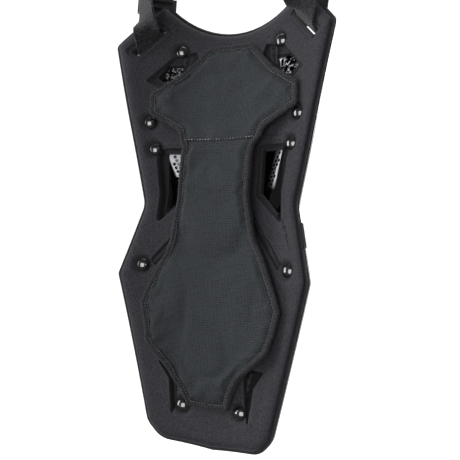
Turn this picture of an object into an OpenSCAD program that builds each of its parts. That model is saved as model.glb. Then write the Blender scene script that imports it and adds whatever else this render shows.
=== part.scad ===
// Riding back protector: hard outer shell, foam liner riveted inside it, removable spine pad,
// shoulder straps threaded through slots, one waist loop.
// Units are millimetres. X runs across the back, +Y points away from the wearer, +Z points up.
// The origin is on the middle of the pad's face, where it meets the wearer's back.

/* [Panel] */
// Radius of the concave face that wraps round the back
face_r = 175; // [165:1:190]
// Distance from the pad's face back to the liner's face, on the centre line
face_depth = 20; // [19:0.5:23]
// Angle from the centre line at which the wrap turns back into a flare
wrap_angle = 38; // [36:1:39]
// Radius of that flare, at the shoulders and hips
flare_r = 90; // [85:1:100]
// Half width at the shoulders
shoulder_x = 134; // [132:1:136]
// Half width at the waist
waist_x = 94.5; // [93:0.5:97]
// Half width at the hips
hip_x = 115; // [113:1:117]
// Radius of the neck opening
neck_r = 115; // [110:1:120]
// Height of the lowest point of the neck opening
neck_z = 237; // [235:1:239]

/* [Layers] */
// Thickness of the foam liner
liner_t = 11; // [10:0.5:12]
// Thickness of the compressed flange round the liner
flange_t = 3.5; // [3:0.5:4]
// Width of that flange
flange_w = 4; // [3:0.5:5]
// Thickness of the hard shell
shell_t = 3; // [2.5:0.5:3.5]

/* [Rivets] */
// Diameter of the rivet caps on the wearer's side
cap_d = 15; // [14:0.5:16]
// Diameter of the rivet stems
stem_d = 5; // [4:0.5:6]
// Diameter of the rivet heads on the outer side
head_d = 17; // [15:0.5:18]

/* [Vents] */
// Diameter of the vent perforations
vent_hole_d = 4; // [3:0.5:4.5]
// Distance between perforations
vent_pitch = 5; // [4.5:0.5:6]
// Wall thickness of the vent covers
vent_wall = 1.6; // [1.2:0.2:2]

/* [Pad] */
// Radius of the pad's face, flatter than the liner
pad_face_r = 310; // [300:5:320]
// Width of the binding tape round the pad
binding_w = 3; // [2:0.5:4]
// Thickness of the pad's cloth
cloth_t = 1.2; // [1:0.1:1.4]

/* [Straps] */
// Width of the shoulder webbing
web_w = 38; // [36:1:38]
// Thickness of the shoulder webbing
web_t = 2; // [1.6:0.2:2]
// Width of a strap slot, across its long way
slot_w = 7; // [6.5:0.5:8]
// Length of a strap slot
slot_l = 44; // [43:1:45]
// Diameter of the strap rings' wire
ring_wire_d = 4.4; // [4:0.2:4.8]
// Height inside a strap ring, between the centres of its bars
ring_h = 22; // [20:1:26]

/* [Hidden] */
$fn = 64;

centre_y = face_depth - face_r;
layer_gap = 0.1;
shell_in = liner_t + layer_gap;
shell_out = shell_in + shell_t;
// Where the wrap turns into the flare, and the flare's own centre
bend_x = face_r * sin(wrap_angle);
bend_y = centre_y + face_r * cos(wrap_angle);
flare_x = bend_x + flare_r * sin(wrap_angle);
flare_y = bend_y + flare_r * cos(wrap_angle);
flare_end_angle = 12;
low_z = -260;
tall = 560;

// Corner points are [x, z, corner radius]; the right half, from the bottom centre to the neck
half_outline = [[0, -245, 0], [60, -239.5, 26], [76, -221, 28], [hip_x, -55, 12], [waist_x, 27, 30],
    [shoulder_x, 214.5, 9], [87, 275, 9]];
neck_steps = 8;
neck_half_angle = 42;

pad_half = [[0, -199, 0], [25, -197.5, 4], [31, -181, 14], [44, -160, 20], [73.5, -131, 9], [84.5, -86, 8],
    [77, -66, 14], [52, -12, 50], [44, 35, 60], [44.5, 93, 3], [50, 99.5, 4], [53, 112, 14],
    [91, 132, 6], [91, 158, 6], [58, 180, 40], [26, 215, 4], [0, 216, 0]];
// The pad gets thinner towards both ends: [from z, to z, thickness at the first, thickness at the second]
pad_ends = [[-230, -50, 4, 21], [90, 250, 22, 6]];
seam_z = 99.5;
seam_w = 2.4;
pad_back = -2.2;
core_gap = 0.1;

mid_recess = [[42, 96, 2], [79, 94, 2], [81, 82, 6], [75, 41, 0], [76.5, 5.5, 2], [41.5, 38, 2]];
mid_window = [[46, 91, 2], [72.5, 89.5, 2], [69.5, 43, 0], [71.5, 15, 2], [46, 42, 2]];
upper_recess = [[98, 174, 2], [70, 207, 3], [44, 213, 3], [38, 196, 3], [60, 168, 3], [84, 166, 3]];
upper_window = [[88, 180, 2], [77, 196, 2], [58, 198, 2], [62, 173, 2], [79, 172, 2]];
groove = [[40, 20, 1], [46, 8, 1], [80, -37, 1], [75, -44, 1], [38.5, 3, 1]];
lower_pocket = [[64, -151, 1], [51, -170, 1], [46.5, -210, 1], [42, -200, 1], [38, -150, 1]];
recess_depth = 4;
groove_depth = 2.5;
slot_lip_w = 4;
pocket_depth = 6;

spine_half = [[9, -205, 3], [17, -150, 8], [11, -60, 20], [20, 60, 20], [15, 150, 10],
    [30, 205, 4], [22, 222, 3]];
spine_bar = [[13, -8, 2], [34, 14, 3], [34, 26, 3], [13, 4, 2]];
spine_dent = [[-6, 0, 2], [6, 0, 2], [7, 26, 2], [-7, 26, 2]];
bar_levels = [-150:45:165];
dent_levels = [-170:45:145];
spine_rise = 3;

slot_at = [97.5, 222.5];
slot_angle = -50.7;

// Rivets on the right half, [x, z]
rivets = [[62.4, 213.6], [90.7, 124.8], [83.2, 93.1], [87.5, -43.3], [34.7, -198.8]];
cap_seat = 2.2;
cap_rise = 3.4;
cap_flange = 0.6;
stem_start = 0.6;
head_rise = 2.6;
head_lap = 0.3;
pin_hole_d = 1.4;
pin_hole_x = 2.6;
pin_hole_depth = 1.6;

// Vents: where, the hood's outline, the ridge of its roof, the creased screen inside the window,
// and its perforated part
vent_mid_at = [58, 52];
vent_mid_outline = [[-20.5, 43, 2], [19, 43, 2], [17, -9, 4], [18.5, -46.5, 2], [-20.5, -13.3, 2]];
vent_mid_ridge = [-2, 8, 3.5];
vent_mid_screen = [0, -17, 8, 3, 9];
vent_mid_holes = [[-1, 39], [12, 39], [-2, -8], [-11, -8], [-11, 12]];
vent_upper_at = [73, 185];
vent_upper_outline = [[-20, 15, 2], [8, 15, 2], [22, -3, 2], [10, -17, 2], [-17, -17, 2]];
vent_upper_ridge = [2, 6, 3.5];
vent_upper_screen = [-2, -30, 9, 2, 3];
vent_upper_holes = [[-18, 14], [6, 14], [18, -4], [8, -14], [-14, -14]];
screen_t = 1.2;
screen_gap = 0.4;
hood_slot = [16, 2.4];
hood_slot_pitch = 6;

hook_rects = [[[-38, 38], [148, 172]], [[-24, 24], [20, 60]], [[-45, 45], [-122, -96]]];
hook_t = 0.9;

// Shoulder webbing on the right: [centre, direction of its width], from its tail, through the slot, to its top
strap_x = 97;
pivot_y = -24.8;
pivot_z = 350;
leg_gap = 3;
leg_top = pivot_z - 5;
slot_lie = [0.58, -0.39, -0.71];
// The outer leg lies flat along the shell, a little off it, and runs straight up where the slider moves
leg_off = 5.5;
outer_x = 102;
outer_y = centre_y + sqrt(pow(face_r + shell_out + leg_off, 2) - outer_x * outer_x);
outer_turn = -asin(outer_x / (face_r + shell_out + leg_off));
outer_lie = [cos(outer_turn), sin(outer_turn), 0];
run_low = 254;
run_high = 292;
front_y = pivot_y - leg_gap;
back_y = pivot_y + leg_gap;
strap_route = [
    [[strap_x, front_y, leg_top], [1, 0, 0]], [[strap_x, front_y, 320], [1, 0, 0]],
    [[strap_x, front_y, 302], [0.88, 0.47, 0]], [[strap_x, -27.3, 285], [0.8, 0.6, 0]],
    [[strap_x, -27.5, 270], [0.82, 0.57, 0]], [[96.5, -28, 258], [0.84, 0.54, -0.05]],
    [[96, -28, 247], [0.87, 0.4, -0.2]], [[96.2, -25.6, 238], [0.86, 0.1, -0.42]],
    [[96.9, -20.5, 230.7], [0.74, -0.14, -0.6]], [[97.4, -13.2, 225.6], slot_lie],
    [[97.5, -7, 222.1], slot_lie], [[97.5, 0, 221.3], slot_lie], [[97.5, 7, 222.1], slot_lie],
    [[98, 11, 225.8], [0.6, -0.4, -0.69]], [[99.5, 12.2, 233.4], [0.7, -0.45, -0.55]],
    [[101, 11.6, 243], [0.82, -0.49, -0.28]], [[outer_x, outer_y, run_low], outer_lie],
    [[outer_x, outer_y, run_high], outer_lie],
    [[outer_x - 1, outer_y - 4, run_high + 8], [0.9, -0.43, 0]],
    [[strap_x, back_y + 6, leg_top - 28], [0.99, -0.12, 0]], [[strap_x, back_y, leg_top - 19], [1, 0, 0]],
    [[strap_x, back_y, leg_top], [1, 0, 0]]];
tab_h = 21;
tab_t = 2 * leg_gap - web_t - 0.2;
slider_z = 275;
slider_size = [47, 6, 20];
slider_slot = [39.4, 3];
slider_window = [36.4, 4.4];
slider_window_z = 4.4;
strap_end_t = 2.4;
ring_z = pivot_z + 25;
ring_inner_w = 40;
sleeve_wall = 2.2;
ring_play = 0.1;
end_start = 3;

waist_tab = [[76.3, 1.2, 2], [101.9, 7.6, 2], [108.8, -19.6, 2], [83.1, -26, 2]];
waist_tab_in = 9.2;
waist_tab_out = 10.9;

shell_colour = [0.03, 0.03, 0.035];
foam_colour = [0.11, 0.11, 0.12];
cloth_colour = [0.13, 0.15, 0.15];
tape_colour = [0.09, 0.09, 0.1];
web_colour = [0.05, 0.05, 0.055];
rivet_colour = [0.02, 0.02, 0.02];
ring_colour = [0.06, 0.06, 0.06];

function unit(v) = v / norm(v);
// Points of an arc of radius r that rounds the corner b between a and c
function corner(a, b, c, r, n) = let(
    u = unit(a - b), v = unit(c - b), half = acos(u * v) / 2,
    o = b + unit(u + v) * r / sin(half),
    s = b + u * r / tan(half) - o, e = b + v * r / tan(half) - o,
    a0 = atan2(s.y, s.x), a1 = atan2(e.y, e.x), turn = (a1 - a0 + 540) % 360 - 180)
    [for (k = [0:n]) o + r * [cos(a0 + turn * k / n), sin(a0 + turn * k / n)]];
function flat(p) = [p.x, p.y];
// Polygon of [x, z, radius] corners with its corners rounded
function rounded(p, n = 4) = [for (i = [0:len(p) - 1]) let(
    a = flat(p[(i + len(p) - 1) % len(p)]), b = flat(p[i]), c = flat(p[(i + 1) % len(p)]))
    each (p[i][2] > 0 ? corner(a, b, c, p[i][2], n) : [b])];
// A half outline joined to its mirror image; points on the centre line are kept once
function whole(half) = concat(half,
    [for (i = [len(half) - 1:-1:0]) if (half[i].x > 0) [-half[i].x, half[i].y, half[i].z]]);
function neck_arc() = [for (k = [0:neck_steps]) let(a = neck_half_angle * (1 - k / neck_steps))
    [neck_r * sin(a), neck_z + neck_r * (1 - cos(a)), 0]];
function panel_outline() = rounded(whole(concat(half_outline, neck_arc())));

// Region of the plan between two distances from the liner's face, t counted away from the wearer
module plan_band(t0, t1) {
    reach = 300;
    translate([0, centre_y]) intersection() {
        difference() {
            circle(r = face_r + t1, $fn = 128);
            circle(r = face_r + t0, $fn = 128);
        }
        polygon([[0, 0], reach * [sin(wrap_angle), cos(wrap_angle)],
            reach * [-sin(wrap_angle), cos(wrap_angle)]]);
    }
    for (side = [0, 1]) mirror([side, 0]) translate([flare_x, flare_y]) intersection() {
        difference() {
            circle(r = flare_r - t0, $fn = 128);
            circle(r = flare_r - t1, $fn = 128);
        }
        polygon([[0, 0], -reach * [sin(wrap_angle), cos(wrap_angle)],
            -reach * [sin(flare_end_angle), cos(flare_end_angle)]]);
    }
}
module band(t0, t1) translate([0, 0, low_z]) linear_extrude(height = tall) plan_band(t0, t1);
// An outline in X and Z, cut straight through from front to back
module through(points, y0 = -80, y1 = 80) translate([0, y1, 0]) rotate([90, 0, 0])
    linear_extrude(height = y1 - y0) polygon(points);
module through_inset(points, inset) translate([0, 80, 0]) rotate([90, 0, 0])
    linear_extrude(height = 160) offset(delta = -inset) polygon(points);
module both_sides() for (side = [0, 1]) mirror([side, 0, 0]) children();
module side_of(right) mirror([right ? 0 : 1, 0, 0]) children();
// Local frame on the liner's face: +X along the face, +Y up, +Z towards the wearer
module at_face(p) let(a = asin(p.x / face_r)) translate([0, centre_y, 0]) rotate([0, 0, -a])
    translate([0, face_r, p.y]) rotate([90, 0, 0]) children();
module at_slot() translate([slot_at.x, 0, slot_at.y]) rotate([0, -slot_angle, 0]) children();
module slot_hole(extra) at_slot() cube([slot_l + 2 * extra, 160, slot_w + 2 * extra], center = true);

module outer_shell() color(shell_colour) difference() {
    union() {
        intersection() {
            band(shell_in, shell_out);
            through(panel_outline());
        }
        spine_rib();
    }
    both_sides() {
        through(rounded(mid_window));
        through(rounded(upper_window));
        slot_hole(0.5);
        for (p = rivets) at_face(p) translate([0, 0, -30]) cylinder(d = stem_d + 0.4, h = 30);
    }
}
// Raised spine down the middle of the shell, with side bars and dents
module spine_rib() difference() {
    intersection() {
        band(shell_out - 0.5, shell_out + spine_rise);
        union() {
            through(rounded(whole(spine_half)));
            for (z = bar_levels) both_sides() translate([0, 0, z]) through(rounded(spine_bar));
        }
    }
    for (z = dent_levels) translate([0, 0, z]) intersection() {
        band(shell_out + spine_rise / 2, shell_out + 2 * spine_rise);
        through(rounded(spine_dent));
    }
}

module foam_liner() color(foam_colour) difference() {
    intersection() {
        band(0, liner_t);
        through_inset(panel_outline(), 1);
    }
    intersection() {
        band(-1, liner_t - flange_t);
        difference() {
            through([[-200, -300], [200, -300], [200, 300], [-200, 300]]);
            through_inset(panel_outline(), flange_w);
        }
    }
    both_sides() {
        through(rounded(mid_window));
        through(rounded(upper_window));
        for (shape = [mid_recess, upper_recess]) intersection() {
            band(-1, recess_depth);
            through(rounded(shape));
        }
        intersection() {
            band(-1, recess_depth);
            slot_hole(slot_lip_w);
        }
        slot_hole(0);
        intersection() {
            band(-1, groove_depth);
            through(rounded(groove));
        }
        intersection() {
            band(-1, pocket_depth);
            through(rounded(lower_pocket));
        }
        for (p = rivets) at_face(p) {
            translate([0, 0, -cap_seat]) cylinder(d1 = cap_d + 1, d2 = cap_d + 9, h = cap_seat + 2);
            translate([0, 0, -30]) cylinder(d = stem_d + 0.6, h = 30);
        }
    }
    intersection() {
        band(waist_tab_in - 0.1, liner_t + 1);
        through_inset(rounded(waist_tab), -0.4);
    }
}

// Vent in one piece: a ridged hood outside the shell with slots low down,
// and a creased screen inside the window
module vent_cover(at, outline, window, ridge, screen, holes, slots) {
    flange_t1 = shell_out + 1.3;
    difference() {
        at_face(at) difference() {
            intersection() {
                below() linear_extrude(height = 60) polygon(rounded(outline));
                roof_prism(roof(ridge, 0));
            }
            intersection() {
                below() linear_extrude(height = 60) offset(delta = -vent_wall) polygon(rounded(outline));
                roof_prism(roof(ridge, vent_wall));
            }
            for (k = slots) translate([-2, k * hood_slot_pitch - 24, -60]) linear_extrude(height = 60)
                square(hood_slot, center = true);
        }
        within(shell_out + layer_gap);
    }
    // Flange that joins the hood to the screen's walls, and the screen
    difference() {
        intersection() {
            at_face(at) below() linear_extrude(height = 60) polygon(rounded(outline));
            band(shell_out + layer_gap, flange_t1);
        }
        through_inset(rounded(window), screen_gap + screen_t);
    }
    difference() {
        intersection() {
            through_inset(rounded(window), screen_gap);
            screen_space(at, screen, 0);
            within(flange_t1);
        }
        intersection() {
            through_inset(rounded(window), screen_gap + screen_t);
            screen_space(at, screen, screen_t);
        }
        at_face(at) vent_holes(holes);
    }
}
module below() translate([0, 0, -60]) children();
module within(t) translate([0, centre_y, low_z]) cylinder(r = face_r + t, h = tall, $fn = 128);
// Section of the hood's roof, [local X, local Z], moved in by inset
function roof(ridge, inset) = let(w = 40, base = shell_out - 2 - (inset > 0 ? 3 : 0)) [[-w, -base],
    [-w, inset - shell_out - ridge[2]], [ridge[0], inset - shell_out - ridge[1]],
    [w, inset - shell_out - ridge[2]], [w, -base]];
// A profile in local X and Z, run along local Y
module roof_prism(profile) translate([0, 60, 0]) rotate([90, 0, 0])
    linear_extrude(height = 120) polygon(profile);
// Everything outwards of the screen's face: [crease X, turn, depth at the crease, fall inwards, fall outwards]
module screen_space(at, screen, set_back) at_face(at) rotate([0, 0, screen[1]]) let(w = 24)
    roof_prism([[-w, -60], [w, -60], [w, -screen[2] - 2 * screen[4] - set_back],
        [screen[0], -screen[2] - set_back],
        [-w, -screen[2] - 2 * screen[3] - set_back]]);
// Rows of holes, each row half a pitch along from the last, kept inside an outline
module vent_holes(outline) {
    rows = floor(42 / (vent_pitch * sin(60)));
    for (j = [-rows:rows], i = [-4:4]) let(p = [(i + (abs(j) % 2) / 2) * vent_pitch, j * vent_pitch * sin(60)])
        if (clear_of(p, outline, vent_hole_d / 2 + 0.6))
            translate([p.x, p.y, -60]) cylinder(d = vent_hole_d, h = 60, $fn = 24);
}
// Whether p is inside the clockwise outline by at least d
function clear_of(p, outline, d) = min([for (i = [0:len(outline) - 1]) let(
    a = flat(outline[i]), b = flat(outline[(i + 1) % len(outline)]), u = unit(b - a))
    u.y * (p.x - a.x) - u.x * (p.y - a.y)]) > d;
module vent_mid(right) color(shell_colour) side_of(right)
    vent_cover(vent_mid_at, vent_mid_outline, mid_window, vent_mid_ridge,
        vent_mid_screen, vent_mid_holes, []);
module vent_upper(right) color(shell_colour) side_of(right)
    vent_cover(vent_upper_at, vent_upper_outline, upper_window, vent_upper_ridge,
        vent_upper_screen, vent_upper_holes, [0:2]);

module rivet_caps() color(rivet_colour) both_sides() for (p = rivets) at_face(p) translate([0, 0, -cap_seat])
    difference() {
        union() {
            cylinder(d = cap_d, h = cap_flange);
            translate([0, 0, cap_flange]) intersection() {
                cylinder(d = cap_d, h = cap_rise);
                dome(cap_d, cap_rise);
            }
        }
        translate([0, 0, -1]) cylinder(d = stem_d, h = 1 + cap_seat - stem_start);
        for (x = [-1, 1] * pin_hole_x) translate([x, 0, cap_flange + cap_rise - pin_hole_depth])
            cylinder(d = pin_hole_d, h = 3, $fn = 24);
    }
// Ball whose cap, of diameter d and height h, stands on the plane z = 0
module dome(d, h) let(r = (d * d / 4 + h * h) / (2 * h)) translate([0, 0, h - r]) sphere(r = r);
module rivet_posts() color(rivet_colour) both_sides() for (p = rivets) at_face(p) {
    translate([0, 0, -shell_out - head_lap]) cylinder(d = stem_d, h = shell_out + head_lap - stem_start);
    translate([0, 0, -shell_out - layer_gap]) mirror([0, 0, 1]) intersection() {
        cylinder(d = head_d, h = head_rise);
        dome(head_d, head_rise);
    }
}

module hook_strip(i) color(web_colour) intersection() {
    band(-hook_t, 0);
    through(patch(hook_rects[i], 0));
}
module loop_patch(i) color(web_colour) intersection() {
    band(pad_back, pad_back + hook_t);
    through(patch(hook_rects[i], 2));
}
function patch(r, grow) = rounded([[r[0][0] - grow, r[1][0] - grow, 3], [r[0][1] + grow, r[1][0] - grow, 3],
    [r[0][1] + grow, r[1][1] + grow, 3], [r[0][0] - grow, r[1][1] + grow, 3]]);

// Space between the pad's face, set back by front, and a distance t from the liner's face
module pad_space(front, t, inset) difference() {
    intersection() {
        translate([0, centre_y, low_z]) cylinder(r = face_r + t, h = tall, $fn = 128);
        through_inset(rounded(whole(pad_half)), inset);
    }
    translate([0, -pad_face_r, low_z]) cylinder(r = pad_face_r + front, h = tall, $fn = 128);
    for (end = pad_ends) translate([0, centre_y, end[0]])
        cylinder(r1 = face_r - end[2] + front, r2 = face_r - end[3] + front, h = end[1] - end[0], $fn = 128);
}
module above_seam() translate([-150, -100, seam_z + seam_w / 2]) cube([300, 200, 150]);
module below_seam() translate([-150, -100, seam_z - seam_w / 2 - 350]) cube([300, 200, 350]);
module pad_core(grow) pad_space(cloth_t + core_gap - grow, pad_back - cloth_t - core_gap + grow,
    binding_w + cloth_t + core_gap - grow);
module pad_core_upper() color(foam_colour) intersection() {
    pad_core(0);
    above_seam();
}
module pad_core_lower() color(foam_colour) intersection() {
    pad_core(0);
    below_seam();
}
module pad_cover() color(cloth_colour) difference() {
    pad_space(0, pad_back - cloth_t - core_gap / 2, binding_w);
    for (part = [0, 1]) intersection() {
        pad_space(cloth_t, 0, binding_w + cloth_t);
        if (part == 0) translate([0, 0, -core_gap]) above_seam(); else translate([0, 0, core_gap]) below_seam();
    }
}
module pad_backing() color(tape_colour) intersection() {
    band(pad_back - cloth_t, pad_back - core_gap / 2);
    through_inset(rounded(whole(pad_half)), binding_w);
}
module pad_binding() color(tape_colour) difference() {
    pad_space(0, pad_back, 0);
    through_inset(rounded(whole(pad_half)), binding_w - core_gap / 2);
}

// A flat band swept along a route of [centre, width direction] stations
module ribbon(route, w, t) {
    n = len(route);
    tangent = [for (i = [0:n - 1]) unit(route[min(i + 1, n - 1)][0] - route[max(i - 1, 0)][0])];
    points = [for (i = [0:n - 1]) let(c = route[i][0], a = unit(route[i][1]), m = unit(cross(tangent[i], a)))
        each [c + a * w / 2 + m * t / 2, c - a * w / 2 + m * t / 2,
            c - a * w / 2 - m * t / 2, c + a * w / 2 - m * t / 2]];
    sides = [for (i = [0:n - 2], k = [0:3]) let(j = (k + 1) % 4)
        each [[4 * i + k, 4 * i + j, 4 * i + 4 + k], [4 * i + j, 4 * i + 4 + j, 4 * i + 4 + k]]];
    last = 4 * (n - 1);
    ends = [[0, 2, 1], [0, 3, 2], [last, last + 1, last + 2], [last, last + 2, last + 3]];
    polyhedron(points, concat(ends, sides));
}
module strap_loop(right) color(web_colour) side_of(right) ribbon(strap_route, web_w, web_t);
module hook_tab(right) color(web_colour) side_of(right)
    translate([strap_x - web_w / 2 + 1, pivot_y - tab_t / 2, leg_top - 1 - tab_h])
        cube([web_w - 2, tab_t, tab_h]);
module strap_slider(right) color(ring_colour) side_of(right)
    translate([outer_x, outer_y, slider_z]) rotate([0, 0, outer_turn]) difference() {
        cube(slider_size, center = true);
        cube([slider_slot.x, slider_slot.y, slider_size.z + 2], center = true);
        for (z = [-1, 1] * slider_window_z) translate([0, 0, z])
            cube([slider_window.x, 2 * slider_size.y, slider_window.y], center = true);
    }
module strap_end(right) color(web_colour) side_of(right) translate([strap_x, pivot_y, 0]) difference() {
    union() {
        translate([-web_w / 2, -strap_end_t / 2, pivot_z + end_start])
            cube([web_w, strap_end_t, ring_z - pivot_z - end_start]);
        translate([-web_w / 2, 0, ring_z]) rotate([0, 90, 0])
            cylinder(d = ring_wire_d + 2 * sleeve_wall, h = web_w);
    }
    translate([-web_w, 0, ring_z]) rotate([0, 90, 0]) cylinder(d = ring_wire_d + 2 * ring_play, h = 2 * web_w);
}
module strap_ring(right) color(ring_colour) side_of(right) translate([strap_x, pivot_y, ring_z]) {
    half = (ring_inner_w + ring_wire_d) / 2;
    for (z = [0, ring_h]) translate([-half, 0, z]) rotate([0, 90, 0]) cylinder(d = ring_wire_d, h = 2 * half);
    for (x = [-half, half]) {
        translate([x, 0, 0]) cylinder(d = ring_wire_d, h = ring_h);
        for (z = [0, ring_h]) translate([x, 0, z]) sphere(d = ring_wire_d);
    }
}
module waist_loop() color(web_colour) intersection() {
    band(waist_tab_in, waist_tab_out);
    through(rounded(waist_tab));
}

outer_shell();
foam_liner();
vent_upper(false);  // vent_upper_left
vent_upper(true);  // vent_upper_right
vent_mid(false);  // vent_mid_left
vent_mid(true);  // vent_mid_right
rivet_caps();
rivet_posts();
hook_strip(0);  // hook_strip_upper
hook_strip(1);  // hook_strip_middle
hook_strip(2);  // hook_strip_lower
pad_cover();
pad_core_upper();
pad_core_lower();
pad_backing();
pad_binding();
loop_patch(0);  // loop_patch_upper
loop_patch(1);  // loop_patch_middle
loop_patch(2);  // loop_patch_lower
strap_loop(false);  // strap_loop_left
strap_loop(true);  // strap_loop_right
hook_tab(false);  // hook_tab_left
hook_tab(true);  // hook_tab_right
strap_slider(false);  // strap_slider_left
strap_slider(true);  // strap_slider_right
strap_end(false);  // strap_end_left
strap_end(true);  // strap_end_right
strap_ring(false);  // strap_ring_left
strap_ring(true);  // strap_ring_right
waist_loop();
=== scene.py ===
import math

import bmesh
import bpy
import numpy as np
from mathutils import Matrix, Vector
from mathutils.geometry import delaunay_2d_cdt
from mathutils.kdtree import KDTree


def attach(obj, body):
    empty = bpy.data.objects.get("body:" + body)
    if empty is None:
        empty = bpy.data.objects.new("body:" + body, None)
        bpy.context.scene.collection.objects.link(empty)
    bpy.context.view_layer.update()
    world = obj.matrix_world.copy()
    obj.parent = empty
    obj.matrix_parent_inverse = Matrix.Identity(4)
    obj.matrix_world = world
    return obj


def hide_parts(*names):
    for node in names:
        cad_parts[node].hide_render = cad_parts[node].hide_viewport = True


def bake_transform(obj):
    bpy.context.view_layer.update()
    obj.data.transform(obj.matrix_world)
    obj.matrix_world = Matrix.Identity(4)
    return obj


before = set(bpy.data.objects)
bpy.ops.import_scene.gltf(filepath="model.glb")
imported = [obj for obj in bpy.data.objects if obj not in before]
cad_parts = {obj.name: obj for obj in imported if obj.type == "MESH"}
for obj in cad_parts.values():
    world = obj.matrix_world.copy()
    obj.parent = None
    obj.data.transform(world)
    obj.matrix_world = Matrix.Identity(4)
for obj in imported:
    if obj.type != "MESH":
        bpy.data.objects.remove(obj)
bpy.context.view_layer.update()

MM = 0.001
rng = np.random.default_rng(7)

# ---- sizes, in mm, as in part.scad
FACE_R, FACE_DEPTH, WRAP, FLARE_R = 175.0, 20.0, math.radians(38), 90.0
CENTRE_Y = FACE_DEPTH - FACE_R
BEND_X, BEND_Y = FACE_R * math.sin(WRAP), CENTRE_Y + FACE_R * math.cos(WRAP)
FLARE_X, FLARE_Y = BEND_X + FLARE_R * math.sin(WRAP), BEND_Y + FLARE_R * math.cos(WRAP)
LINER_T, FLANGE_T, FLANGE_W = 11.0, 3.5, 4.0
SHELL_OUT = 14.1
NECK_R, NECK_Z = 115.0, 237.0
HALF_OUTLINE = [(0, -245, 0), (60, -239.5, 26), (76, -221, 28), (115, -55, 12), (94.5, 27, 30),
                (134, 214.5, 9), (87, 275, 9)]
NECK = [(NECK_R * math.sin(a), NECK_Z + NECK_R * (1 - math.cos(a)), 0)
        for a in [math.radians(42 * (1 - k / 8)) for k in range(9)]]
PAD_HALF = [(0, -199, 0), (25, -197.5, 4), (31, -181, 14), (44, -160, 20), (73.5, -131, 9), (84.5, -86, 8),
            (77, -66, 14), (52, -12, 50), (44, 35, 60), (44.5, 93, 3), (50, 99.5, 4), (53, 112, 14),
            (91, 132, 6), (91, 158, 6), (58, 180, 40), (26, 215, 4), (0, 216, 0)]
PAD_FACE_R, PAD_BACK = 310.0, -2.2
SEAM_Z, SEAM_CURVE = 99.5, 0.00035
MID_RECESS = [(42, 96, 2), (79, 94, 2), (81, 82, 6), (75, 41, 0), (76.5, 5.5, 2), (41.5, 38, 2)]
MID_WALL = [(79, 94), (81, 82), (75, 41), (76.5, 5.5)]
MID_WINDOW = [(46, 91, 2), (72.5, 89.5, 2), (69.5, 43, 0), (71.5, 15, 2), (46, 42, 2)]
UPPER_RECESS = [(98, 174, 2), (70, 207, 3), (44, 213, 3), (38, 196, 3), (60, 168, 3), (84, 166, 3)]
UPPER_WINDOW = [(88, 180, 2), (77, 196, 2), (58, 198, 2), (62, 173, 2), (79, 172, 2)]
GROOVE = [(40, 20, 1), (46, 8, 1), (80, -37, 1), (75, -44, 1), (38.5, 3, 1)]
LOWER_POCKET = [(64, -151, 1), (51, -170, 1), (46.5, -210, 1), (42, -200, 1), (38, -150, 1)]
SLOT_AT, SLOT_ANGLE, SLOT_L, SLOT_W = (97.5, 222.5), math.radians(50.7), 44.0, 7.0
SLOT_COS, SLOT_SIN = math.cos(SLOT_ANGLE), math.sin(SLOT_ANGLE)
SLIT = [(78.9, 9.6), (81.5, 2.0), (84.5, -7.0), (87.2, -15.5), (89.3, -22.5)]
RIVETS = [(62.4, 213.6), (90.7, 124.8), (83.2, 93.1), (87.5, -43.3), (34.7, -198.8)]
CAP_R, CAP_RISE, CAP_EDGE, CAP_BACK = 7.5, 3.5, 0.6, 2.2
PIN_X, PIN_R, PIN_LOW, PIN_HIGH = 2.5, 0.5, 2.6, 6
STRAP_X, PIVOT_Y, PIVOT_Z, RING_Z = 97.0, -24.8, 350.0, 375.0
WEB_W, WEB_T, WIRE_R = 37.6, 2.0, 2.0


# ---- outlines and distances
def whole(half):
    """Both sides of a symmetric outline, from its right half."""
    return list(half) + [(-x, z, r) for x, z, r in reversed(half) if x > 0]


def ccw(corners):
    """The corners in anticlockwise order."""
    a = sum(p[0] * q[1] - q[0] * p[1] for p, q in zip(corners, corners[1:] + corners[:1]))
    return list(corners) if a > 0 else list(reversed(corners))


def loop(corners, inset=0.0, arc=6, step=3.0):
    """Rounded outline of (x, z, radius) corners, moved inwards by inset.

    The number of points doesn't depend on inset.
    """
    corners = ccw(corners)
    n = len(corners)
    raw = np.array([c[:2] for c in corners], float)
    fwd = np.roll(raw, -1, 0) - raw
    length = np.linalg.norm(fwd, axis=1)
    u = fwd / length[:, None]
    out, arcs = [], []
    for i in range(n):
        a, b = u[i - 1], u[i]
        na, nb = np.array([-a[1], a[0]]), np.array([-b[1], b[0]])
        p = raw[i] + inset * (na + nb) / (1 + na @ nb)
        turn = math.atan2(a[0] * b[1] - a[1] * b[0], a @ b)
        r0 = corners[i][2]
        if r0 <= 0 or abs(turn) < 1e-3:
            arcs.append([p])
            continue
        side = 1 if turn > 0 else -1
        r = max(r0 - inset * side, 0.4)
        tan = min(r * math.tan(abs(turn) / 2), 0.48 * min(length[i - 1], length[i]))
        r = tan / math.tan(abs(turn) / 2)
        start = p - a * tan
        centre = start + side * na * r
        v = start - centre
        arcs.append([centre + (v[0] * math.cos(t) - v[1] * math.sin(t), v[0] * math.sin(t) + v[1] * math.cos(t))
                     for t in np.linspace(0, turn, arc + 1)])
    for i in range(n):
        out.extend(arcs[i])
        m = max(1, int(round(length[i] / step)))
        p, q = arcs[i][-1], arcs[(i + 1) % n][0]
        out.extend(p + (q - p) * k / m for k in range(1, m))
    return np.array(out)


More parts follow.
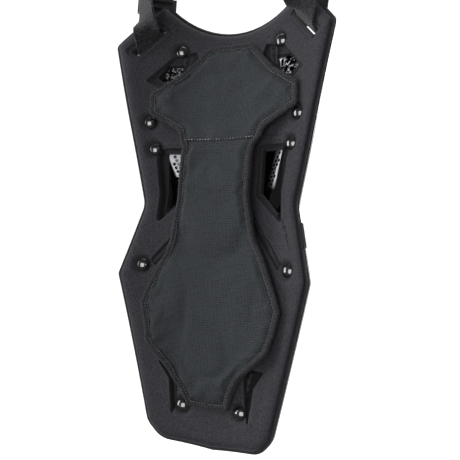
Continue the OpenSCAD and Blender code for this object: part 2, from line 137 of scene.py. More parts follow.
def dist(points, poly):
    """Distance from each point to a closed outline, positive inside."""
    best = np.full(len(points), 1e9)
    inside = np.zeros(len(points), bool)
    for a, b in zip(poly, np.roll(poly, -1, 0)):
        d = b - a
        size = d @ d
        if size < 1e-12:
            continue
        t = np.clip((points - a) @ d / size, 0, 1)
        q = points - (a + t[:, None] * d)
        best = np.minimum(best, (q * q).sum(1))
        crosses = (a[1] > points[:, 1]) != (b[1] > points[:, 1])
        inside ^= crosses & (points[:, 0] < a[0] + (points[:, 1] - a[1]) / (b[1] - a[1] + 1e-30) * d[0])
    return np.where(inside, 1, -1) * np.sqrt(best)


def to_segment(points, a, b):
    """Distance from each point to the line between a and b."""
    a, b = np.array(a, float), np.array(b, float)
    d = b - a
    t = np.clip((points - a) @ d / (d @ d), 0, 1)
    return np.linalg.norm(points - (a + t[:, None] * d), axis=1)


def ramp(u):
    """Smooth rise from 0 to 1 as u goes from 0 to 1."""
    u = np.clip(u, 0, 1)
    return u * u * (3 - 2 * u)


def fade(d, start, width):
    """Smooth fall from 1 to 0 as d goes from start to start + width."""
    return 1 - ramp((d - start) / width)


def peak(d, at, width):
    """A rounded peak of height 1."""
    return np.exp(-((d - at) / width) ** 2)


def raised(flat, y):
    """Points (x, z) with their Y put in."""
    return np.column_stack([flat[:, 0], y, flat[:, 1]])


def seam_line(x):
    """Height of the pad's cross seam."""
    return SEAM_Z + SEAM_CURVE * x * x


def side_squeeze(x):
    """How much narrower a disc on the face looks at x, seen along Y."""
    return math.cos(math.asin(x / FACE_R))


def face_y(x, t):
    """Y of the wrapped surface at a distance t from the liner's face."""
    ax = np.abs(x)
    wrap = CENTRE_Y + np.sqrt(np.maximum((FACE_R + t) ** 2 - ax ** 2, 0))
    flare = FLARE_Y - np.sqrt(np.maximum((FLARE_R - t) ** 2 - (FLARE_X - ax) ** 2, 0))
    return np.where(ax < (FACE_R + t) * math.sin(WRAP), wrap, flare)


def at_face(x, z, t):
    """Matrix of the local frame there: X along the face, Y up, Z towards the wearer. Millimetres in, metres out."""
    before, after = face_y(np.array([x - 0.5, x + 0.5]), 0)
    m = Matrix.Rotation(math.atan2(after - before, 1.0), 4, "Z") @ Matrix.Rotation(math.pi / 2, 4, "X")
    m.translation = Vector((x, float(face_y(np.array([x]), t)[0]), z)) * MM
    return m


# ---- meshes
def add_object(name, data):
    ob = bpy.data.objects.new(name, data)
    bpy.context.scene.collection.objects.link(ob)
    return ob


def new_mesh(name, verts, faces, body, mats, nodes=()):
    """A smooth piece on a body, with verts in mm, that stands for the CAD nodes given."""
    me = bpy.data.meshes.new(name)
    me.from_pydata([tuple(v) for v in (np.asarray(verts, float) * MM)], [], [tuple(int(i) for i in f) for f in faces])
    me.validate()
    ob = add_object(name, me)
    for m in mats if isinstance(mats, list) else [mats]:
        me.materials.append(m)
    me.polygons.foreach_set("use_smooth", [True] * len(me.polygons))
    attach(ob, body)
    if nodes:
        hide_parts(*nodes)
    return ob


def walls(a, b):
    """Faces between two closed rings of vertex numbers."""
    return list(zip(a, b, b[1:] + b[:1], a[1:] + a[:1]))


def tube(start, count, size):
    """Faces of a capped tube, whose rings of size vertices are numbered on from start."""
    rings = [list(range(start + j * size, start + (j + 1) * size)) for j in range(count)]
    faces = [f for a, b in zip(rings, rings[1:]) for f in zip(a, a[1:] + a[:1], b[1:] + b[:1], b)]
    return faces + [tuple(rings[0][::-1]), tuple(rings[-1])]


def fix_normals(ob):
    bm = bmesh.new()
    bm.from_mesh(ob.data)
    bmesh.ops.recalc_face_normals(bm, faces=bm.faces)
    bm.to_mesh(ob.data)
    bm.free()


def edge_split(ob, degrees):
    """Smooth shading with hard edges above an angle."""
    bm = bmesh.new()
    bm.from_mesh(ob.data)
    limit = math.radians(degrees)
    for e in bm.edges:
        e.smooth = len(e.link_faces) != 2 or e.calc_face_angle(0) < limit
    for f in bm.faces:
        f.smooth = True
    bm.to_mesh(ob.data)
    bm.free()


def thin(points, fixed, gap):
    """The points that are at least gap away from every fixed point."""
    tree = KDTree(len(fixed))
    for i, p in enumerate(fixed):
        tree.insert((p[0], p[1], 0), i)
    tree.balance()
    keep = [p for p in points if tree.find((p[0], p[1], 0))[2] >= gap]
    return np.array(keep) if keep else np.zeros((0, 2))


def clear(points, outline, holes, gap):
    """Which points are inside the outline and outside the holes, by more than gap."""
    ok = dist(points, outline) > gap
    for h in holes:
        ok &= dist(points, h) < -gap
    return ok


def fill(outline, holes, rings, spacing, margin):
    """Triangles of the area inside outline and outside the holes, with points on the rings and a grid between.

    Returns points, faces, and the outline and holes as lists of point numbers.
    """
    fixed = [outline] + list(holes)
    base = np.vstack(fixed)
    extra = np.zeros((0, 2))
    for ring in rings:
        extra = np.vstack([extra, thin(ring, np.vstack([base, extra]), margin * 0.75)])
    lo, hi = outline.min(0), outline.max(0)
    rows = np.arange(lo[1], hi[1], spacing * math.sqrt(3) / 2)
    grid = np.array([(x + (spacing / 2 if j % 2 else 0), z)
                     for j, z in enumerate(rows) for x in np.arange(lo[0], hi[0], spacing)])
    grid = thin(grid[clear(grid, outline, holes, margin)], np.vstack([base, extra]), margin)
    pts = np.vstack([base, extra[clear(extra, outline, holes, 0.3)], grid])
    edges, start, loops = [], 0, []
    for f in fixed:
        n = len(f)
        loops.append(list(range(start, start + n)))
        edges += [(start + i, start + (i + 1) % n) for i in range(n)]
        start += n
    co, _, faces, orig, _, _ = delaunay_2d_cdt([Vector(p) for p in pts], edges, [], 0, 1e-5)
    co = np.array([(c[0], c[1]) for c in co])
    new_of = {old: i for i, olds in enumerate(orig) for old in olds}
    loops = [[new_of[i] for i in lp] for lp in loops]
    faces = np.array([f for f in faces if len(f) == 3])
    faces = faces[clear(co[faces].mean(1), outline, holes, 0)]
    a, b, c = co[faces[:, 0]], co[faces[:, 1]], co[faces[:, 2]]
    area = (b[:, 0] - a[:, 0]) * (c[:, 1] - a[:, 1]) - (c[:, 0] - a[:, 0]) * (b[:, 1] - a[:, 1])
    faces[area < 0] = faces[area < 0][:, ::-1]
    return co, faces, loops


def mirror_x(pts):
    """An outline on the other side, in the same turning order."""
    return np.array([(-x, z) for x, z in pts])[::-1]


# ---- materials
class Graph:
    """Short way to build a node tree."""

    def __init__(self, tree):
        self.tree = tree

    def add(self, kind, **props):
        n = self.tree.nodes.new(kind)
        for k, v in props.items():
            setattr(n, k, v)
        return n

    def link(self, a, b):
        """Joins an output to a socket, or sets the socket to a value or to a colour (r, g, b)."""
        if hasattr(a, "is_output"):
            self.tree.links.new(a, b)
        else:
            b.default_value = (*a, 1.0) if isinstance(a, tuple) else a

    def axes(self, vector):
        """The X, Y and Z of a vector."""
        n = self.add("ShaderNodeSeparateXYZ")
        self.link(vector, n.inputs[0])
        return n.outputs

    def math(self, op, a, b=0.0):
        n = self.add("ShaderNodeMath", operation=op)
        self.link(a, n.inputs[0])
        self.link(b, n.inputs[1])
        return n.outputs[0]

    def times(self, a, b):
        return self.math("MULTIPLY", a, b)

    def weighted(self, *pairs):
        """Sum of (value, weight) pairs."""
        parts = [self.times(value, weight) for value, weight in pairs]
        total = parts[0]
        for part in parts[1:]:
            total = self.math("ADD", total, part)
        return total

    def spread(self, value, low, high, to_low=0.0, to_high=1.0):
        n = self.add("ShaderNodeMapRange")
        for key, v in zip(("Value", "From Min", "From Max", "To Min", "To Max"), (value, low, high, to_low, to_high)):
            self.link(v, n.inputs[key])
        return n.outputs["Result"]

    def mix(self, fac, a, b):
        n = self.add("ShaderNodeMix", data_type="RGBA")
        # a mix node has a set of sockets for each data type; 6, 7 and 2 are its colours
        for value, socket in ((fac, 0), (a, 6), (b, 7)):
            self.link(value, n.inputs[socket])
        return n.outputs[2]


class Material(Graph):
    """A principled material, with textures on the object's own coordinates."""

    def __init__(self, name):
        self.mat = bpy.data.materials.new(name)
        self.mat.use_nodes = True
        super().__init__(self.mat.node_tree)
        self.bsdf = self.tree.nodes["Principled BSDF"]
        self.coord = self.add("ShaderNodeTexCoord").outputs["Object"]

    def texture(self, kind, values, vector=None, **props):
        n = self.add(kind, **props)
        self.link(vector or self.coord, n.inputs["Vector"])
        for key, v in values.items():
            n.inputs[key].default_value = v
        return n.outputs

    def noise(self, scale, detail=3.0, rough=0.55, vector=None):
        values = {"Scale": scale, "Detail": detail, "Roughness": rough}
        return self.texture("ShaderNodeTexNoise", values, vector)["Fac"]

    def voronoi(self, scale):
        return self.texture("ShaderNodeTexVoronoi", {"Scale": scale})["Distance"]

    def wave(self, axis, period, distort, detail_scale):
        """Bands across one axis, with that period in metres."""
        values = {"Scale": math.pi / 10 / period, "Distortion": distort, "Detail": 2.0, "Detail Scale": detail_scale}
        return self.texture("ShaderNodeTexWave", values, bands_direction=axis)["Fac"]

    def scaled(self, x, y, z):
        return self.texture("ShaderNodeMapping", {"Scale": (x, y, z)})["Vector"]

    def attribute(self, name):
        return self.add("ShaderNodeAttribute", attribute_name=name).outputs["Fac"]

    def edge_wear(self):
        return self.spread(self.add("ShaderNodeNewGeometry").outputs["Pointiness"], 0.5, 0.58)

    def bump(self, height, strength, distance_mm, normal=None):
        n = self.add("ShaderNodeBump")
        for key, v in (("Height", height), ("Strength", strength), ("Distance", distance_mm * MM)):
            self.link(v, n.inputs[key])
        if normal is not None:
            self.link(normal, n.inputs["Normal"])
        return n.outputs["Normal"]

    def finish(self, color, rough, normal=None, **values):
        self.link(color, self.bsdf.inputs["Base Color"])
        self.link(rough, self.bsdf.inputs["Roughness"])
        if normal is not None:
            self.link(normal, self.bsdf.inputs["Normal"])
        for k, v in values.items():
            self.link(v, self.bsdf.inputs[k.replace("_", " ")])
        return self.mat


CLOTH = {"Sheen_Weight": 0.12, "Sheen_Roughness": 0.4, "Specular_IOR_Level": 0.3}


def make_foam():
    n = Material("foam_laminate")
    fine = n.noise(900, 3, 0.6)
    grain = n.noise(560, 3, 0.7)
    patches = n.noise(16, 3, 0.5)
    both = n.weighted((fine, 0.4), (grain, 0.6))
    colour = n.mix(n.spread(both, 0.4, 0.6), (0.008, 0.008, 0.011), (0.042, 0.042, 0.051))
    colour = n.mix(n.spread(patches, 0.35, 0.7, 0.0, 0.25), colour, (0.031, 0.031, 0.038))
    colour = n.mix(n.times(n.edge_wear(), 0.3), colour, (0.065, 0.064, 0.075))
    # painted shade: the foam goes nearly black in hollows, on the walls of openings and along edges, from the liner's
    # shade values
    colour = n.mix(n.times(n.attribute("painted_shade"), 0.93), colour, (0.003, 0.003, 0.0035))
    nm = n.bump(grain, 0.4, 0.35)
    nm = n.bump(fine, 0.5, 0.25, nm)
    return n.finish(colour, n.spread(fine, 0.3, 0.7, 0.62, 0.8), nm, **CLOTH)


def make_canvas():
    n = Material("ribbed_canvas")
    rib = n.wave("Z", 0.0026, 0.9, 0.6)
    fine_rib = n.wave("Z", 0.0013, 0.4, 0.4)
    warp = n.wave("X", 0.0017, 0.6, 0.5)
    weave = n.weighted((rib, 0.2), (fine_rib, 0.4), (warp, 0.4))
    fuzz = n.noise(520, 3, 0.7)
    patches = n.noise(13, 3, 0.55)
    colour = n.mix(n.spread(weave, 0.25, 0.8), (0.004, 0.005, 0.006), (0.054, 0.06, 0.067))
    colour = n.mix(n.spread(fuzz, 0.45, 0.62, 0.0, 0.6), colour, (0.047, 0.053, 0.059))
    colour = n.mix(n.spread(patches, 0.35, 0.7, 0.0, 0.25), colour, (0.019, 0.022, 0.0245))
    # painted shade where the cloth meets the binding and along the cross seam
    colour = n.mix(n.times(n.attribute("painted_seam_shade"), 0.8), colour, (0.003, 0.003, 0.0035))
    nm = n.bump(weave, 0.7, 0.5)
    nm = n.bump(fuzz, 0.6, 0.35, nm)
    return n.finish(colour, 0.84, nm, Sheen_Weight=0.12, Sheen_Roughness=0.35, Specular_IOR_Level=0.25)


def make_tape(name, dark, light):
    n = Material(name)
    cross = n.voronoi(600)
    grain = n.noise(430, 3, 0.7)
    both = n.weighted((cross, 0.5), (grain, 0.6))
    colour = n.mix(n.spread(both, 0.35, 0.72), dark, light)
    nm = n.bump(both, 0.7, 0.45)
    return n.finish(colour, 0.82, nm, **CLOTH)


def make_webbing():
    n = Material("brushed_webbing")
    tuft = n.voronoi(480)
    fuzz = n.noise(800, 4, 0.75)
    clump = n.noise(190, 3, 0.6)
    both = n.weighted((tuft, 0.45), (fuzz, 0.6))
    colour = n.mix(n.spread(both, 0.36, 0.68), (0.004, 0.004, 0.005), (0.048, 0.047, 0.053))
    colour = n.mix(n.spread(clump, 0.4, 0.7, 0.0, 0.5), colour, (0.008, 0.008, 0.0095))
    nm = n.bump(both, 1.0, 1.1)
    return n.finish(colour, 0.92, nm, Sheen_Weight=0.25, Sheen_Roughness=0.4, Specular_IOR_Level=0.2)


def make_hook():
    n = Material("hook_tape")
    dots = n.voronoi(900)
    colour = n.mix(n.spread(dots, 0.1, 0.6), (0.045, 0.045, 0.048), (0.012, 0.012, 0.013))
    return n.finish(colour, 0.6, n.bump(dots, 1.0, 0.6), Specular_IOR_Level=0.4)


def make_gloss(name, base, light, rough_low, rough_high, grain_mm=0.05):
    n = Material(name)
    grain = n.noise(900, 3, 0.5)
    smear = n.noise(38, 4, 0.6)
    scratch = n.noise(260, 3, 0.6, n.scaled(1, 1, 0.06))
    colour = n.mix(n.spread(smear, 0.35, 0.75), base, light)
    worn = tuple(min(1, c * 2.6 + 0.01) for c in light)
    colour = n.mix(n.times(n.edge_wear(), 0.35), colour, worn)
    rough = n.math("ADD", n.spread(smear, 0.3, 0.75, rough_low, rough_high),
                   n.spread(scratch, 0.62, 0.74, 0.0, 0.12))
    return n.finish(colour, rough, n.bump(grain, 0.35, grain_mm), Specular_IOR_Level=0.5)


def make_vent():
    """Black gloss plastic with a painted pale highlight on the screens: in places for the middle vents, all over for
    the upper.
    """
    n = Material("vent_plastic")
    x, _, z = n.axes(n.coord)
    # painted highlight on the middle vents: a wedge on the left, and a strip with a fainter web beside it on the right
    rise = n.math("SUBTRACT", z, 0.060)
    middle = n.times(n.spread(z, 0.046, 0.060), n.spread(z, 0.14, 0.12))
    edge = n.math("SUBTRACT", n.times(x, -1.0), n.times(rise, 0.48))
    left = n.times(n.spread(edge, 0.0615, 0.0595), n.spread(x, -0.01, -0.02))
    across = n.math("SUBTRACT", x, n.times(rise, 0.2))
    strip = n.spread(n.math("ABSOLUTE", n.math("SUBTRACT", across, 0.0625)), 0.0019, 0.0012)
    web = n.times(n.spread(across, 0.0635, 0.0625), n.spread(across, 0.053, 0.0595, 0.0, 0.2))
    right = n.times(n.math("MAXIMUM", strip, web), n.spread(x, 0.01, 0.02))
    # painted highlight on the upper vents: flecks, fainter on the left
    share = n.times(n.spread(z, 0.150, 0.170), n.spread(x, -0.02, 0.02, 0.4, 1.0))
    upper = n.times(share, n.spread(n.noise(210, 2, 0.5), 0.5, 0.6))
    painted_highlight = n.math("MAXIMUM", n.times(n.math("MAXIMUM", left, right), middle), upper)
    # the painted highlight only where the plastic looks towards the wearer
    facing = n.axes(n.add("ShaderNodeNewGeometry").outputs["Normal"])["Y"]
    painted_highlight = n.times(painted_highlight, n.spread(facing, -0.3, -0.55))
    # the pale colour of the painted highlight
    colour = n.mix(painted_highlight, (0.0012, 0.0012, 0.0014), (0.72, 0.74, 0.77))
    rough = n.spread(n.noise(160, 3, 0.6), 0.3, 0.7, 0.28, 0.42)
    return n.finish(colour, rough, n.bump(n.noise(900), 0.3, 0.02), Specular_IOR_Level=0.04)


def make_thread(name, dark, light, twist=(1600, 2, 0.5), worn=None, low=0.35, high=0.65):
    """Thread whose shade follows its twist, or the noise in worn where that is given."""
    n = Material(name)
    twisted = n.noise(*twist)
    shade = n.noise(*worn) if worn else twisted
    colour = n.mix(n.spread(shade, low, high), dark, light)
    return n.finish(colour, 0.6, n.bump(twisted, 0.6, 0.2), Sheen_Weight=0.2)


FOAM = make_foam()
CANVAS = make_canvas()
TAPE = make_tape("binding_tape", (0.004, 0.004, 0.0055), (0.034, 0.034, 0.04))
WEBBING = make_webbing()
HOOK = make_hook()
LOOP_TAPE = make_tape("loop_tape", (0.012, 0.012, 0.014), (0.045, 0.044, 0.048))
LINING = make_tape("lining_cloth", (0.014, 0.014, 0.016), (0.036, 0.035, 0.039))
SHELL = make_gloss("moulded_shell", (0.018, 0.018, 0.02), (0.028, 0.028, 0.031), 0.20, 0.34)
VENT = make_vent()
RIVET = make_gloss("polished_rivet", (0.004, 0.004, 0.0045), (0.009, 0.009, 0.01), 0.2, 0.26, 0.01)
for key, value in (("Specular IOR Level", 1.0), ("Coat Weight", 1.0), ("Coat IOR", 2.0), ("Coat Roughness", 0.12)):
    RIVET.node_tree.nodes["Principled BSDF"].inputs[key].default_value = value
BUCKLE = make_gloss("acetal_buckle", (0.018, 0.018, 0.019), (0.03, 0.03, 0.032), 0.18, 0.32, 0.04)
RING = make_gloss("coated_steel", (0.022, 0.022, 0.024), (0.04, 0.04, 0.043), 0.25, 0.42, 0.03)
THREAD = make_thread("thread", (0.035, 0.037, 0.04), (0.15, 0.155, 0.165))
SEAM_THREAD = make_thread("seam_thread", (0.02, 0.021, 0.023), (0.36, 0.37, 0.38),
                          (1600, 3.0, 0.55), (140, 2, 0.6), 0.42, 0.58)
DARK_THREAD = make_thread("dark_thread", (0.008, 0.008, 0.009), (0.03, 0.029, 0.033))

# ---- foam liner
EDGE = whole(HALF_OUTLINE + NECK)
OUT = loop(EDGE, 0, 6, 2.5)
OUT_IN = loop(EDGE, 1.0, 6, 2.5)
POLY = {"mid": loop(MID_RECESS, 0, 4), "up": loop(UPPER_RECESS, 0, 4),
        "groove": loop(GROOVE, 0, 4), "pocket": loop(LOWER_POCKET, 0, 4)}
# the sewn band on the lower side of a strap slot: how far from the slot's line, and its half width and length
BAND_AT, BAND_HALF, BAND_LONG = 7.4, 2.4, 22


def slot_loop(grow, step=2.0):
    """Outline of the right strap slot, grown on all sides."""
    a, b = SLOT_L / 2 + grow, SLOT_W / 2 + grow
    r = 1.5 + grow * 0.5
    pts = loop([(-a, -b, r), (a, -b, r), (a, b, r), (-a, b, r)], 0, 4, step)
    x, z = pts[:, 0], pts[:, 1]
    return np.column_stack([SLOT_AT[0] + x * SLOT_COS + z * SLOT_SIN, SLOT_AT[1] - x * SLOT_SIN + z * SLOT_COS])


def bar(points, a, b, half_w, soft):
    """1 on a rounded bar between a and b, falling to 0 over soft."""
    return fade(to_segment(points, a, b), half_w, soft)


def liner_depth(p):
    """How far the cloth lies behind the liner's face at the points p, and how much painted shade it gets in the
    hollows and along its edges, 0 to 1.
    """
    a = np.column_stack([np.abs(p[:, 0]), p[:, 1]])
    d = dist(p, OUT)
    # flange, then the rolled edge
    step = LINER_T - FLANGE_T
    u = np.clip((d - FLANGE_W) / 11.0, 0, 1)
    t = np.where(d < FLANGE_W, step, step * (1 - np.sqrt(np.clip(1 - (1 - u) ** 2, 0, 1))))
    t = t + 0.35 * peak(d, FLANGE_W - 0.2, 0.6) + 1.6 * fade(d, 0, 1.6)
    # the neck rolls further back
    neck = np.abs(np.hypot(a[:, 0], a[:, 1] - NECK_Z - NECK_R) - NECK_R)
    t = t + 2.6 * fade(neck, 2, 20) * (a[:, 0] < 82) * (a[:, 1] > 200)
    base = t.copy()
    # recesses round the windows; the outer wall of the middle one is a long slope
    r = dist(a, POLY["mid"])
    wall = np.min([to_segment(a, q0, q1) for q0, q1 in zip(MID_WALL, MID_WALL[1:])], axis=0)
    near_wall = fade(wall - r, 0, 2.5)
    floor = 4.3 * ramp((r + 0.6) / 3.0)
    slope = 8.6 * np.clip((r + 0.3) / 2.6, 0, 1)
    t = np.maximum(t, floor * (1 - near_wall) + slope * near_wall)
    t = t - 0.5 * peak(r, -2.0, 1.3)
    # a groove from the rivet to the window
    t = t + 1.2 * bar(a, (88, 96.5), (46, 97.5), 0.3, 1.4) * (r < 0.5)
    r = dist(a, POLY["up"])
    ribs = bar(a, (60.0, 188), (57.6, 205), 1.0, 1.0) + bar(a, (53.0, 187), (50.6, 207), 1.0, 1.0)
    t = np.maximum(t, 4.6 * ramp((r + 0.5) / 2.2) * (1 - 0.62 * np.clip(ribs, 0, 1)))
    t = t - 0.6 * peak(r, -2.1, 1.2)
    # groove beside the waist, with a low bar in it
    r = dist(a, POLY["groove"])
    in_groove = ramp((r + 0.4) / 1.3) * (1 - 0.75 * bar(a, (42, 10), (76, -38.5), 1.2, 1.5))
    t = np.maximum(t, 3.4 * in_groove) - 0.5 * peak(r, -2.0, 1.2)
    # pockets beside the pad's lower end
    r = dist(a, POLY["pocket"])
    ribs = bar(a, (55, -168), (47.5, -204), 1.0, 1.2) + bar(a, (46, -156), (40, -186), 1.2, 1.5)
    t = np.maximum(t, 7.6 * ramp((r + 0.3) / 1.4) * (1 - 0.6 * np.clip(ribs, 0, 1)))
    # strap slots: sunk all round, with a raised smooth band below the lower side
    r = dist(a, slot_loop(4.6))
    lip = dist(a, slot_loop(1.2))
    t = np.maximum(t, 3.6 * ramp((r + 0.4) / 1.8) - 1.4 * ramp((r - 0.6) / 1.2) * fade(lip, -0.6, 1.4))
    across, up = a[:, 0] - SLOT_AT[0], a[:, 1] - SLOT_AT[1]
    off_band = np.abs(-across * SLOT_SIN - up * SLOT_COS - BAND_AT)
    beside = fade(np.abs(across * SLOT_COS - up * SLOT_SIN), BAND_LONG, 3)
    t = t - 1.5 * fade(off_band, BAND_HALF, 1.4) * beside
    # dimples under the rivets, with painted shade a little above each cap
    caps = np.zeros(len(a))
    for x, z in RIVETS:
        wide = (a[:, 0] - x) / side_squeeze(x)
        t = np.maximum(t, 2.6 * fade(np.hypot(wide, a[:, 1] - z), 6.8, 7.5))
        # painted shadow in each dimple, moved up to sit above the cap
        caps = np.maximum(caps, 0.85 * fade(np.hypot(wide, a[:, 1] - z - 0.8), 8.0, 3.0))
    # sewn slit for the waist loop, on the right
    for q0, q1 in zip(SLIT, SLIT[1:]):
        t = t + 1.3 * bar(p, q0, q1, 0.5, 0.9)
    # painted shade: darker with depth in the hollows, in the groove, along the outer edge, above each cap, beside the
    # slot's band, at the neck and in a line round each recess
    dark = [ramp((t - base - 1.2) / 5.5), 0.7 * in_groove, 0.55 * fade(d, 1.0, 3.5), caps,
            0.85 * peak(off_band, BAND_HALF + 0.8, 0.7) * beside,
            0.7 * fade(neck, 1.5, 6.0) * (a[:, 0] < 84) * (a[:, 1] > 200)]
    dark += [share * peak(dist(a, POLY[key]), 0.9, 0.8)
             for key, share in (("mid", 0.6), ("up", 0.6), ("groove", 0.7), ("pocket", 0.9))]
    return t, np.clip(np.max(dark, axis=0), 0, 1)


def set_values(ob, name, values):
    """A value for each vertex, for the materials."""
    at = ob.data.attributes.new(name, "FLOAT", "POINT")
    at.data.foreach_set("value", np.asarray(values, np.float32))


def liner_rings():
    """Rings of points round every edge and hollow of the liner, so that the triangles follow them."""
    line = []
    for q0, q1 in zip(SLIT, SLIT[1:]):
        for k in range(8):
            x, z = q0[0] + (q1[0] - q0[0]) * k / 8, q0[1] + (q1[1] - q0[1]) * k / 8
            line += [(x, z), (x - 0.9, z - 0.3), (x + 0.9, z + 0.3)]
    rings = [np.array(line)]
    for s in (1.5, 2.3, 3.1, 3.6, 4.0, 4.3, 4.8, 5.6, 6.6, 8.0, 9.8, 12.0, 15.0, 18.0, 21.0):
        ring = loop(EDGE, s, 6, 2.0)
        rings.append(ring[np.abs(dist(ring, OUT) - s) < 0.25])
    half_rings = [loop(poly, s, 3, 1.6) for poly, insets in (
        (MID_RECESS, (-3.2, -2.0, -1.0, -0.3, 0.6, 1.6, 2.8, 4.2)),
        (UPPER_RECESS, (-3.2, -2.0, -1.0, -0.2, 0.6, 1.6)),
        (GROOVE, (-3.0, -1.9, -0.8, 0.0, 0.8, 1.6)),
        (LOWER_POCKET, (-0.6, 0.2, 1.0))) for s in insets]
    half_rings += [slot_loop(s, 1.6) for s in (8.0, 6.6, 5.4, 4.4, 3.4, 2.4, 1.2)]
    for x, z in RIVETS:
        for r in (6.2, 7.6, 9.0, 10.5, 12.0, 13.6):
            turns = np.linspace(0, 2 * math.pi, int(r * 3.4), False)
            half_rings.append(np.column_stack([x + r * side_squeeze(x) * np.cos(turns), z + r * np.sin(turns)]))
    for ring in half_rings:
        rings += [ring, mirror_x(ring)]
    return rings


def build_liner():
    windows = [loop(MID_WINDOW, 0, 4, 2), loop(UPPER_WINDOW, 0, 4, 2), slot_loop(0)]
    holes = windows + [mirror_x(w) for w in windows]
    co, faces, loops = fill(OUT_IN, holes, liner_rings(), 3.0, 0.8)
    t, painted_shade = liner_depth(co)
    verts = [raised(co, face_y(co[:, 0], t))]
    n = count = len(co)
    all_faces = list(faces)
    # the foam's thickness at the outer edge and round each opening
    for lp in loops:
        ring, start, prev = co[lp], t[lp], lp
        for share in [0.5, 1.0] if lp is loops[0] else [0.33, 0.66, 1.0]:
            verts.append(raised(ring, face_y(ring[:, 0], start + (LINER_T - start) * share)))
            cur = list(range(count, count + len(lp)))
            count += len(lp)
            all_faces += walls(prev, cur)
            prev = cur
    ob = new_mesh("liner", np.vstack(verts), all_faces, "panel", FOAM, ["foam_liner"])
    # painted shade: the walls of the outer edge and of every opening are fully shaded
    set_values(ob, "painted_shade", np.concatenate([painted_shade, np.ones(count - n)]))
    fix_normals(ob)
    # the wearer's side looks towards -Y
    me = ob.data
    if sum(p.normal.y * p.area for p in me.polygons) > 0:
        me.flip_normals()
    edge_split(ob, 50)


build_liner()


# ---- stitches
# a stitch's stations: share of its length, width and lift
STITCH_SHAPE = ((0, 0.35, -0.35), (0.25, 0.9, 0), (0.5, 1.0, 0.15), (0.75, 0.9, 0), (1, 0.35, -0.35))
STITCH_SIDES = 5


def stitch_mesh(name, runs, length, pitch, width, body, mat):
    """Short rounded threads along runs of points (mm), each with the outward direction there."""
    verts, faces = [], []
    for pts, outs in runs:
        pts, outs = np.asarray(pts, float), np.asarray(outs, float)
        cum = np.concatenate([[0], np.cumsum(np.linalg.norm(np.diff(pts, axis=0), axis=1))])
        for k in range(int(cum[-1] / pitch)):
            s0 = (k + 0.5) * pitch - length / 2 + rng.uniform(-0.12, 0.12)
            at = [s0 + length * f for f, _, _ in STITCH_SHAPE]
            p, o = (np.column_stack([np.interp(at, cum, line[:, i]) for i in range(3)]) for line in (pts, outs))
            o /= np.linalg.norm(o, axis=1)[:, None]
            d = p[-1] - p[0]
            side = np.cross(d / (np.linalg.norm(d) + 1e-9), o[2])
            side /= np.linalg.norm(side) + 1e-9
            thick = width / 2 * rng.uniform(0.85, 1.15)
            skew = rng.uniform(-0.15, 0.15)
            faces += tube(len(verts), len(STITCH_SHAPE), STITCH_SIDES)
            for j, (_, size, lift) in enumerate(STITCH_SHAPE):
                c = p[j] + o[j] * lift + side * skew * (j - 2) / 2
                for ang in np.arange(STITCH_SIDES) * 2 * math.pi / STITCH_SIDES:
                    verts.append(c + (side * math.cos(ang) + o[j] * math.sin(ang) * 0.8) * size * thick)
    return new_mesh(name, verts, faces, body, mat)


# ---- pad
def pad_thickness(z):
    low = 4 + (z + 230) * 17 / 180
    high = 22 - (z - 90) * 16 / 160
    return np.where(z < -50, np.minimum(low, 21), np.where(z > 90, np.minimum(high, 22), 60.0))


def pad_front(x, z):
    """Y of the pad's face: the flatter cylinder, cut back by the tapers at both ends."""
    flat = -PAD_FACE_R + np.sqrt(PAD_FACE_R ** 2 - x ** 2)
    r = FACE_R - pad_thickness(z)
    cone = CENTRE_Y + np.sqrt(np.maximum(r ** 2 - x ** 2, 1.0))
    k = 1.5
    m = np.maximum(flat, cone)
    soft = m + k * np.log1p(np.exp(-np.abs(flat - cone) / k)) * 0.9
    return soft + 0.35


# The soft pad lies a little off straight: sideways and outwards at some heights, in mm
LIE_Z = [-205, -190, -165, -140, -110, -60, -30, 0, 40, 85, 105, 130, 220]
LIE_X = [-1, -2, -5, -2.5, 0.5, 0, 0.5, -2.5, -4, -3.5, 0, 1.5, 1.5]
LIE_Y = [0, -2, -5, -2, 0, 0, 0, -2, -3.5, -2, 0, 1, 0]


def lay(ob):
    """Moves a piece of the pad the way the pad lies."""
    co = np.array([v.co for v in ob.data.vertices]) / MM
    share = np.clip((6.0 - (co[:, 1] - pad_front(co[:, 0], co[:, 2]))) / 6.0, 0.35, 1)
    co[:, 1] += np.interp(co[:, 2], LIE_Z, LIE_Y) * share
    co[:, 0] += np.interp(co[:, 2], LIE_Z, LIE_X)
    ob.data.vertices.foreach_set("co", (co * MM).ravel())
    ob.data.update()


PAD_EDGE = whole(PAD_HALF)
PAD_OUT = loop(PAD_EDGE)
PAD_CORNERS = [(27, -195), (75, -132), (88, -83), (90, 131), (91, 158), (26, 215)]
FIELD_IN = 5.6  # where the cloth goes under the binding


def binding_y(x, z, inset):
    """Y of the pad's face at a distance inset from its edge, where it falls away towards the edge."""
    return pad_front(x, z) + 1.6 * fade(inset, 6.0, 9.0)


def pad_shape(x, z, d):
    """Y of the cloth at a distance d from the pad's edge."""
    y = binding_y(x, z, d) + peak(d, 6.6, 0.9)
    seam = np.abs(z - seam_line(x))
    y = y + 1.5 * peak(seam, 0, 1.5) + 0.8 * peak(seam, 0, 6.0)
    # soft puckers at the corners, slow waves in the padding, and a hollow on each side of the waist
    for s in (-1, 1):
        for cx, cz in PAD_CORNERS:
            r = np.hypot(x - s * cx, z - cz)
            ang = np.arctan2(z - cz, s * (x - s * cx))
            y += 0.55 * np.sin(ang * 9 + cx) * peak(r, 20, 13)
        y += peak(np.hypot(x - s * 36, (z + 20) / 2.2), 0, 14)
    return y + 0.5 * np.sin(x / 17 + 0.6) * np.sin(z / 41 + 0.9) + 0.3 * np.sin(x / 9 + z / 23)


